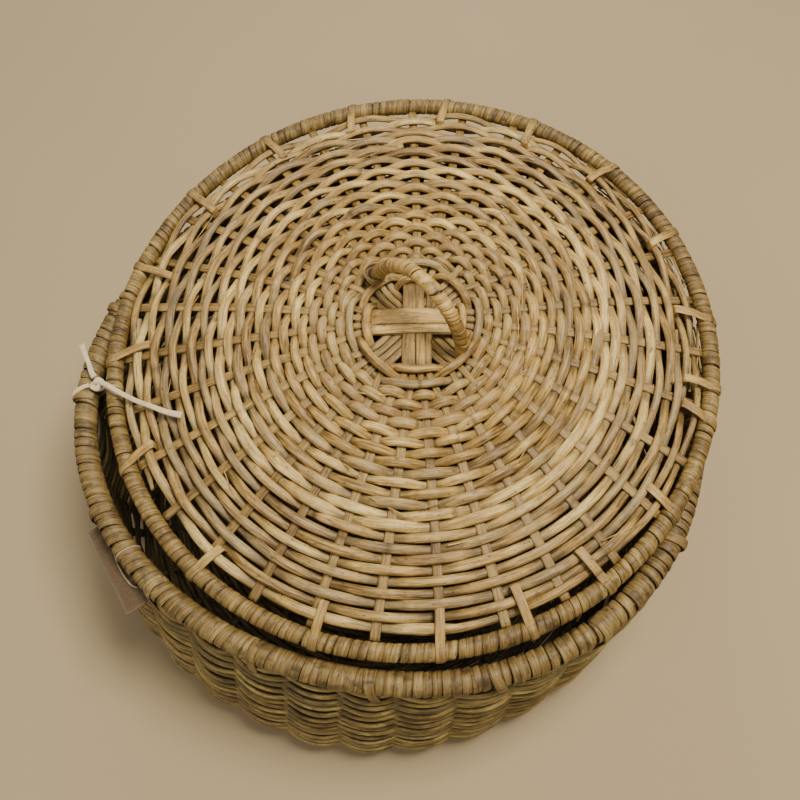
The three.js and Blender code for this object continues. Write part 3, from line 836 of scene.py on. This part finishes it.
def wrap(canes, rng, place, count, tube, width, thick, steps=16, uneven=1.0, tones=(0.2, 0.8),
         dirty=0.0):
    """One flat cane wound round and round a hoop or a bow. place(t) gives the line's points
    and two directions across it at t windings. The first half is dirtier by dirty."""
    t = np.arange(0, count, 1 / steps)
    turn = np.floor(t).astype(int)
    part = t - turn
    slip = rng.normal(0, 0.10 * uneven, count + 2)
    lean = mix(slip[turn], slip[turn + 1], part)
    centre, out, up = place(t + lean)
    angle = TAU * t + 0.35
    away = np.cos(angle)[:, None] * out + np.sin(angle)[:, None] * up
    proud = rng.uniform(-0.15, 0.10, count + 2) * uneven
    level = tube - thick + mix(proud[turn], proud[turn + 1], smooth(part, 0.3, 0.7))
    widths = rng.uniform(0.94, 1.06, count + 2)
    squeeze = mix(widths[turn], widths[turn + 1], smooth(part, 0.2, 0.8))
    chances = rng.uniform(*tones, (count + 2, 3))
    shared = rng.uniform(*tones, (count // 9 + 3, 3))
    chances = 0.4 * chances + 0.6 * shared[np.arange(count + 2) // 9]
    dirt = dirty * (1 - smooth(t / count, 0.2, 0.6))
    canes.add(centre + away * level[:, None], away, strip_outline(width, thick), squeeze=squeeze,
              tint=chances[turn], dirt=dirt)


def hoop_place(shape, radius, height, count):
    """The place function of a hoop that is wound count times."""
    def place(t):
        angle = TAU * t / count
        centre = shape(polar(radius, angle, height))
        return centre, polar(1, angle, 0), np.broadcast_to(UP, centre.shape)
    return place


def lashing_angle(i):
    """The lashings are spaced by hand, and drift apart towards the front. The last is a mend."""
    if i == LASHINGS:
        return MEND_ANGLE
    return 7 + 20 * i + 12.5 * math.exp(-((i - 12.6) / 2) ** 2)


def add_lashings(canes, rng):
    """The long flat stitches from the lid's outer rows over the hoop and round under it."""
    hook = np.radians([112, 88, 60, 32, 5, -22, -50, -78])
    for i in range(LASHINGS + 1):
        middle = math.radians(lashing_angle(i) + rng.uniform(-1, 1))
        skew = math.radians(rng.uniform(-2.2, 2.2))
        inner = LID_RADIUS - rng.uniform(17, 24)
        over = dome_height(inner) + 2 * LID_CANE * LID_CANE_FLAT + SPOKE_THICK / 2 + 0.5
        r = [inner - 1.5, inner - 0.9, inner + 0.6, mix(inner, LID_RADIUS, 0.5),
             *(LID_RADIUS + (LID_BOUND + 0.1) * np.cos(hook))]
        z = [over - 6.5, over - 1.6, over - 0.1, mix(over, LID_Z + LID_BOUND, 0.42) + 0.5,
             *(LID_Z + (LID_BOUND + 0.1) * np.sin(hook))]
        route = catmull(np.column_stack([r, np.zeros(len(r)), z]), 6)
        share = (LID_RADIUS - route[:, 0]) / 24
        angle = middle + skew * share
        ahead = np.gradient(route, axis=0)
        facing = unit(polar(-ahead[:, 2], angle, ahead[:, 0]))
        tint = [rng.uniform(0.40, 0.80), rng.uniform(0, 0.7), rng.uniform(0, 0.7)]
        worn = 0.15 + 0.45 * smooth(-share, -0.25, 0.1)
        canes.add(shape_lid(polar(route[:, 0], angle, route[:, 2])), facing,
                  strip_outline(5.7, 0.8), tint=tint, dirt=worn)


def add_lid_binding(material, pale):
    rng = np.random.default_rng(31)
    edge = Canes(rng)
    wrap(edge, rng, hoop_place(shape_lid, LID_RADIUS, LID_Z, LID_WRAPS), LID_WRAPS, LID_BOUND,
         4.75, 0.75, steps=14)
    settle(edge.build("lid_wrapped_edge", material), "lid", "binding_cane", "lid_binding")
    lashings = Canes(rng)
    add_lashings(lashings, rng)
    settle(lashings.build("lid_lashings", pale), "lid", "binding_cane")


def handle_line():
    """The bow of the handle in its own plane, from foot to foot."""
    bend = np.pi * np.linspace(0, 1, 60)
    sag = 1 - HANDLE_SAG * np.maximum(np.cos(bend), 0) ** 2
    return np.stack([-HANDLE_SPAN / 2 * np.cos(bend), 0 * bend,
                     HANDLE_HEIGHT * np.sin(bend) * sag + HANDLE_LIFT], 1)


def place_handle(p):
    x, y = turned(p[:, 0], p[:, 1], math.radians(HANDLE_TURN))
    foot = dome_height(HANDLE_SPAN / 2)
    return np.stack([x + LID_CENTRE[0] + HANDLE_SHIFT[0], y + LID_CENTRE[1] + HANDLE_SHIFT[1],
                     p[:, 2] + foot], 1)


def add_loose_coil(canes, line):
    """The wrap's own end, wound loosely round the first foot."""
    t = np.linspace(0, 2.6, 90)
    angle = TAU * t + 2.2
    reach = HANDLE_BOUND + 1.0 + 1.5 * smooth(t, 1.2, 2.6)
    foot = line[30]
    points = np.stack([foot[0] - 1.0 + reach * np.cos(angle), foot[1] + reach * np.sin(angle),
                       foot[2] - 1.5 + 2.6 * t], 1)
    out = points - foot
    canes.add(points, out * (1, 1, 0), round_outline(1.15, 8), tint=(0.25, 0.3, 0.75))


def add_handle(material):
    rng = np.random.default_rng(41)
    line = resample(handle_line(), 400)
    line = resample(np.vstack([line[:1] - 6 * UP, line, line[-1:] - 6 * UP]), HANDLE_STEPS)
    line[:, 1] += 0.5 * waves(rng, 4, 1, 5)(np.linspace(0, 3, HANDLE_STEPS))
    ahead = unit(np.gradient(line, axis=0))
    marks = np.arange(HANDLE_STEPS)

    def place(t):
        at = np.clip(t / HANDLE_WRAPS, 0, 1) * marks[-1]
        points = points_at(line, marks, at)
        side = np.broadcast_to([0.0, 1.0, 0.0], points.shape)
        return points, side, np.cross(side, points_at(ahead, marks, at))

    canes = Canes(rng)
    wrap(canes, rng, place, HANDLE_WRAPS, HANDLE_BOUND, 6.1, 0.85, steps=22, uneven=1.6,
         tones=(0.1, 1.0), dirty=0.45)
    add_loose_coil(canes, line)
    canes.points = [place_handle(p / MM) * MM for p in canes.points]
    settle(canes.build("handle_wrapping", material), "lid", "binding_cane", "handle_wrap")


# ---- basket
def add_stakes(material):
    rng = np.random.default_rng(53)
    canes = Canes(rng)
    s = np.linspace(0, PROFILE_END, 110)
    r = np.interp(s, PROFILE_S, PROFILE_R)
    z = stake_profile(np.interp(s, PROFILE_S, PROFILE_SHARE))[1]
    outline = spoke_outline(STAKE_WIDE, STAKE_THICK)
    for group in range(4):
        for member in range(4):
            sides = []
            for end in strip_ends(group, member):
                x, y = BASE_FAN.plan(end, r)
                facing = basket_place(s, np.arctan2(y, x), 0)[1]
                flat = np.stack([x, y, z + group * base_layer_lift(r)], 1)
                sides.append(np.hstack([shape_basket(flat), facing]))
            centre, facing = np.hsplit(joined(*sides), 2)
            canes.add(centre, facing, outline)
    extra = math.radians(BASE_FAN.start + WHOLE_ENDS * 360 / STAKE_COUNT)
    canes.add(*basket_place(s[s > 44], extra, 0), outline)
    settle(canes.build("basket_stakes", material), "basket", "wall_cane", *strip_names("stake"),
           "stake_extra")


def add_base_rings(canes, rng):
    """The first rows round the middle of the base, which go over and under whole bundles."""
    for k, ring_r in enumerate(BASE_RINGS):
        angle = np.linspace(0, TAU, 200) + rng.uniform(0, TAU)
        r = ring_r + 0.3 * waves(rng, 4, 1, 4)(angle)
        lift = bundle_wave(BASE_FAN, angle, k) * (BASE_CANE + STAKE_THICK / 2)
        centre, facing = basket_place(r, angle, lift - BASE_FAN.layer(angle) * base_layer_lift(r))
        canes.add(centre, facing, round_outline(BASE_CANE, 8), dirt=0.4)


def wall_share(s):
    """0 across the base, where the rows are close, and 1 up the wall."""
    return smooth(s, 150, 185)


def wall_spiral(top_s, steps):
    """How far out along the stakes the spiral has come at each step, and the stakes passed."""
    n, s = 0.0, BASE_FIRST
    rows = []
    while s < top_s:
        rows.append((n, s))
        s += mix(BASE_PITCH, WALL_PITCH, wall_share(s)) / STAKE_COUNT / steps
        n += 1 / steps
    return np.array(rows).T


def add_basket_weave(material):
    rng = np.random.default_rng(61)
    base, wall = Canes(rng), Canes(rng)
    add_base_rings(base, rng)
    top_s = np.interp(WALL_TOP, PROFILE_Z[PROFILE_S > 170], PROFILE_S[PROFILE_S > 170])
    steps = 7
    drift = hand_field(rng, 9, 6, 0.08)
    all_n, all_s = wall_spiral(top_s, steps)
    first = 0
    while first < len(all_n) - steps:
        length = int(rng.uniform(1.4, 2.8) * STAKE_COUNT) * steps
        pick = slice(max(first - 4, 0), min(first + length + 4, len(all_n)))
        n, row_s = all_n[pick], all_s[pick]
        grow = wall_share(row_s)
        r = np.interp(row_s, PROFILE_S, PROFILE_R)
        angle = BASE_FAN.angle_between(n, np.minimum(r, 189))
        cane = mix(BASE_CANE, WALL_CANE, grow)
        amp = (0.86 * cane + STAKE_THICK / 2) * (1 + 0.36 * grow)
        wave = np.cos(math.pi * n)
        wave = wave * (1.1 - 0.1 * wave ** 2)
        snug = 1 + 0.16 * grow * waves(rng, 5, 0.2, 2.0)(n)
        s = row_s + (0.2 + 1.3 * grow) * drift(angle, row_s)
        s = np.minimum(s + 0.45 * grow * waves(rng, 5, 0.3, 1.4)(n), top_s)
        tail_in = 1 - smooth(n, n[0], n[0] + 1.0)
        tail_out = smooth(n, n[-1] - 0.6, n[-1])
        lift = amp * snug * wave - 1.2 * tail_in - 0.6 * tail_out
        centre, facing = basket_place(s, angle, lift - BASE_FAN.layer(angle) * base_layer_lift(r))
        size = cane / WALL_CANE * cane_size(rng, len(n), rng.uniform(0.90, 1.14), 0.08)
        centre[:, 2] = np.maximum(centre[:, 2], size * WALL_CANE + 0.15)
        target = base if row_s[-1] < 172 else wall
        # Painted shade where the rod passes behind a stake.
        target.add(centre, facing, round_outline(WALL_CANE, 8, rng.uniform(0.80, 0.90)), size=size,
                   dirt=0.62 * smooth(-wave, -0.1, 0.7))
        first += length
    settle(base.build("base_woven_canes", material), "basket", "wall_cane", "base_weave")
    settle(wall.build("side_woven_canes", material), "basket", "wall_cane", "side_weave",
           "corner_weave")


def add_stitches(canes, rng):
    """The flat stitches from the wall's outer rows up and over the rim hoop."""
    for i in range(STITCHES):
        middle = math.radians(2 + 360 * i / STITCHES + rng.uniform(-2, 2))
        skew = math.radians(rng.uniform(-1.4, 1.4))
        low = 112 + rng.uniform(-3, 4)
        past_hoop = np.array([-0.7, 4.8, 6.7, 7.9, 8.2, 5.6, 0, -5.6])
        z = [low - 1.5, low - 1.0, low + 2.5, RIM_Z - 6, RIM_Z + 0.5, RIM_Z + 5.9, RIM_Z + 8.1,
             RIM_Z + 5.6]
        route = catmull(np.column_stack([RIM_RADIUS + past_hoop, 0 * past_hoop, z]), 6)
        angle = middle + skew * (RIM_Z - route[:, 2]) / 20
        ahead = np.gradient(route, axis=0)
        canes.add(shape_basket(polar(route[:, 0], angle, route[:, 2])),
                  unit(polar(ahead[:, 2], angle, -ahead[:, 0])), strip_outline(6.2, 0.9),
                  tint=rng.uniform(0.3, 0.7, 3))


def add_rim_binding(material):
    rng = np.random.default_rng(71)
    canes = Canes(rng)
    wrap(canes, rng, hoop_place(shape_basket, RIM_RADIUS, RIM_Z, RIM_WRAPS), RIM_WRAPS, RIM_BOUND,
         5.8, 0.8)
    add_stitches(canes, rng)
    settle(canes.build("rim_wrapped_edge", material), "basket", "binding_cane", "rim_binding")


# ---- tag
def tag_frame():
    """Where the tag hangs: a point on its top edge, and its directions along, out and down."""
    angle = math.radians(TAG_ANGLE)
    reach = RIM_RADIUS + RIM_OVAL * math.cos(2 * math.radians(TAG_ANGLE - RIM_OVAL_TURN))
    out = np.array([math.cos(angle), math.sin(angle), 0])
    along = np.array([-math.sin(angle), math.cos(angle), 0])
    lean = math.radians(TAG_LEAN)
    down = out * math.sin(lean) - UP * math.cos(lean)
    top = out * (reach + TAG_TOP[0]) + np.array([*RIM_SHIFT, TAG_TOP[1]])
    return top, along, out, down, reach


def card_points(rng):
    """The card's two faces as grids of points, and how near each point is to a free edge."""
    top, along, _, down, _ = tag_frame()
    length, height, thick = TAG_SIZE
    face = np.cross(down, along)
    u, v = np.meshgrid(np.linspace(-1, 1, CARD_COLUMNS + 1), np.linspace(0, 1, CARD_ROWS + 1),
                       indexing="ij")
    u, v = u.ravel(), v.ravel()
    deep = v * height - TAG_TAPER * np.maximum(u, 0) * (1 - v)
    bow = 0.5 * v * v * (1 + 0.5 * u) + 0.25 * waves(rng, 3, 1.5, 4.0)(u * 2) * v
    middle = top + np.outer(u * length / 2, along) + np.outer(deep, down) + np.outer(bow, face)
    to_side = np.abs(u) * length / 2 - length / 2
    worn = np.clip(1 + np.maximum(to_side, v * height - height) / CARD_WORN, 0, 1)
    return np.concatenate([middle + face * thick / 2, middle - face * thick / 2]), worn


def card_quads():
    """Both faces of the card, and the strip round its edge."""
    count = (2, CARD_COLUMNS + 1, CARD_ROWS + 1)
    faces, edges = [], []
    for g in np.arange(np.prod(count)).reshape(count):
        faces.append(np.stack([g[:-1, :-1], g[:-1, 1:], g[1:, 1:], g[1:, :-1]], -1).reshape(-1, 4))
        edges.append(np.concatenate([g[:-1, 0], g[-1, :-1], g[:0:-1, -1], g[0, :0:-1]]))
    near, far = edges
    strip = np.stack([near, np.roll(near, -1), np.roll(far, -1), far], 1)
    return np.concatenate([faces[0], faces[1][:, ::-1], strip]).tolist()


def add_card(rng, material):
    points, worn = card_points(rng)
    mesh = bpy.data.meshes.new("blank_tag")
    mesh.from_pydata([tuple(p * MM) for p in points], [], card_quads())
    mesh.update()
    facts = np.zeros((len(points), 3), np.float32)
    facts[:, 1] = np.tile(worn, 2)
    mesh.attributes.new("wear_and_shade", "FLOAT_VECTOR", "POINT").data.foreach_set("vector", facts.ravel())
    mesh.materials.append(material)
    settle(put_in_scene("blank_tag", mesh), "tag", "tag_card", "tag")


def add_thread(rng, material):
    """A loop round the rim, and the loose part that lies over the card."""
    top, along, out, _, reach = tag_frame()
    ring = Canes(rng)
    rim = out * reach + np.array([*RIM_SHIFT, RIM_Z])
    angle = np.linspace(0, TAU, 60)
    wide = RIM_BOUND + 0.2
    points = rim + wide * (np.outer(np.cos(angle), out) + np.outer(np.sin(angle), UP))
    ring.add(points, along, round_outline(THREAD, 8), tint=COTTON)
    settle(ring.build("tag_thread", material), "basket", "tie_cord", "tag_string")

    loose = Canes(rng)
    steps = np.array([(-9, 6.8, 2.4), (-7.5, 8.5, 1.6), (0, 9.6, 0.9), (9, 9.2, 0.9),
                      (16, 7.7, 1.4), (20, 4.9, 2.6)]) - (0, TAG_TOP[0], 0)
    points = top + steps @ np.array([along, out, UP])
    loose.add(catmull(points, 10), UP, round_outline(THREAD + 0.05, 8), tint=COTTON)
    settle(loose.build("tag_loose_thread", material), "tag", "tie_cord")


# ---- stage and lights
def add_floor():
    mesh = bpy.data.meshes.new("floor")
    size = 3.0
    mesh.from_pydata([(-size, -size, 0), (size, -size, 0), (size, size, 0), (-size, size, 0)], [],
                     [(0, 1, 2, 3)])
    mesh.materials.append(floor_material())
    floor = put_in_scene("floor", mesh)
    floor.location.z = -0.0005


def add_light(name, place, target, size, power, colour):
    light = bpy.data.lights.new(name, "AREA")
    light.shape = "SQUARE"
    light.size = size
    light.energy = power
    light.color = colour
    lamp = put_in_scene(name, light)
    lamp.location = place
    lamp.rotation_mode = "QUATERNION"
    lamp.rotation_quaternion = (Vector(target) - Vector(place)).to_track_quat("-Z", "Y")


def add_lights():
    add_light("key", (0.45, 0.1, 1.6), (0, 0, 0.1), 0.5, 34, (1.0, 0.96, 0.88))
    add_light("fill", (-0.8, -1.1, 1.1), (0, 0, 0.1), 1.2, 8.5, (1.0, 0.96, 0.90))
    add_light("back", (-0.3, 1.3, 1.0), (0, 0.1, 0.1), 0.8, 8, (0.98, 0.98, 1.0))
    world = bpy.data.worlds.new("studio")
    world.use_nodes = True
    sky = world.node_tree.nodes["Background"].inputs
    sky["Color"].default_value = (1.0, 0.97, 0.93, 1)
    sky["Strength"].default_value = 0.22
    bpy.context.scene.world = world


def dress_cad_nodes(material):
    """The bare hoops and the handle's core show only between the wraps."""
    for name in ("rim_hoop", "lid_hoop", "handle_core"):
        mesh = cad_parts[name].data
        mesh.materials.clear()
        mesh.materials.append(material)


def main():
    add_camera()
    cotton = cord_material("tie_cotton", (0.76, 0.60, 0.34), (0.40, 0.28, 0.13))
    add_tie(cotton)
    lid_cane = cane_material("lid_cane", LID_STOPS, GREY, SOIL_AND_PAINTED_SHADE, 0.32)
    wall_cane = cane_material("wall_cane", WALL_STOPS, WALL_GREY, WALL_SOIL_AND_PAINTED_SHADE, 0.46, mixed=0.22,
                              blotched=0.4)
    binding = cane_material("binding_cane", BIND_STOPS, BIND_GREY, SOIL_AND_PAINTED_SHADE, 0.40, blotched=0.55)
    edge = cane_material("lid_edge_cane", EDGE_STOPS, BIND_GREY, SOIL_AND_PAINTED_SHADE, 0.38, blotched=0.5)
    pale = cane_material("pale_binding_cane", PALE_STOPS, GREY, SOIL_AND_PAINTED_SHADE, 0.36)
    dress_cad_nodes(binding)
    add_lid_weave(lid_cane)
    add_spokes(pale)
    add_lid_binding(edge, pale)
    add_handle(pale)
    add_stakes(wall_cane)
    add_basket_weave(wall_cane)
    add_rim_binding(binding)
    thread = cord_material("thread_cotton", (0.50, 0.39, 0.22), (0.27, 0.19, 0.10), fuzz=0.1)
    rng = np.random.default_rng(83)
    add_card(rng, card_material("tag_card"))
    add_thread(rng, thread)
    add_floor()
    add_lights()


main()
